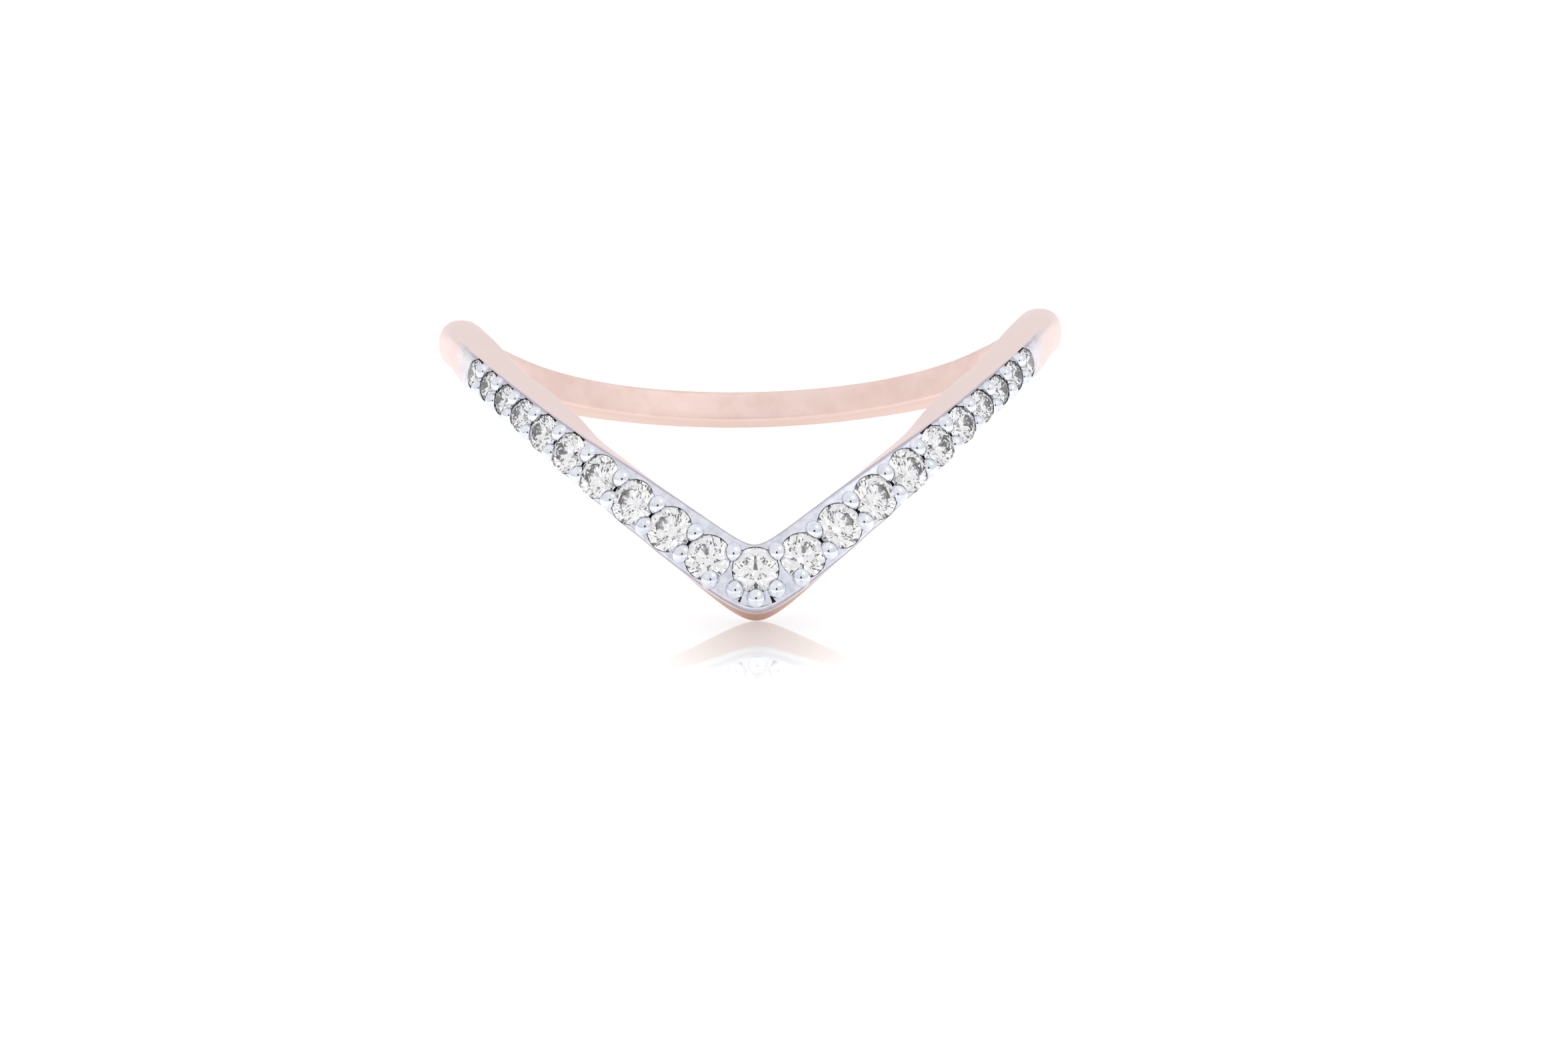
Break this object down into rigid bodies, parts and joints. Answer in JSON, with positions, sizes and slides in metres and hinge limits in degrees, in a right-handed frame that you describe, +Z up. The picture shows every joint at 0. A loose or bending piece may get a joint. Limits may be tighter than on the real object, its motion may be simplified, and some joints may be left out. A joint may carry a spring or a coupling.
{
  "type": "chevron ring",
  "caption": "Slim finger ring whose front dips to a V set with a row of round brilliant stones held by pairs of round beads, on a plain two-tone gold band.",
  "frame": {"origin": "on the surface the ring lies on, under the middle of its bounding box", "axes": "+Z up; -Y towards the point of the V, at the front; +X to the right as seen from the front"},
  "size_m": [0.0202, 0.0231, 0.0066],
  "materials": {
    "rose_gold": "polished rose gold, its set face plated white",
    "clear_stone": "clear, faceted and polished"
  },
  "bodies": {
    "root": {"band": "rose_gold", "stone_tip": "clear_stone", "stone_left_1": "clear_stone", "stone_left_2": "clear_stone", "stone_left_3": "clear_stone", "stone_left_4": "clear_stone", "stone_left_5": "clear_stone", "stone_left_6": "clear_stone", "stone_left_7": "clear_stone", "stone_left_8": "clear_stone", "stone_left_9": "clear_stone", "stone_left_10": "clear_stone", "stone_right_1": "clear_stone", "stone_right_2": "clear_stone", "stone_right_3": "clear_stone", "stone_right_4": "clear_stone", "stone_right_5": "clear_stone", "stone_right_6": "clear_stone", "stone_right_7": "clear_stone", "stone_right_8": "clear_stone", "stone_right_9": "clear_stone", "stone_right_10": "clear_stone"}
  },
  "joints": []
}
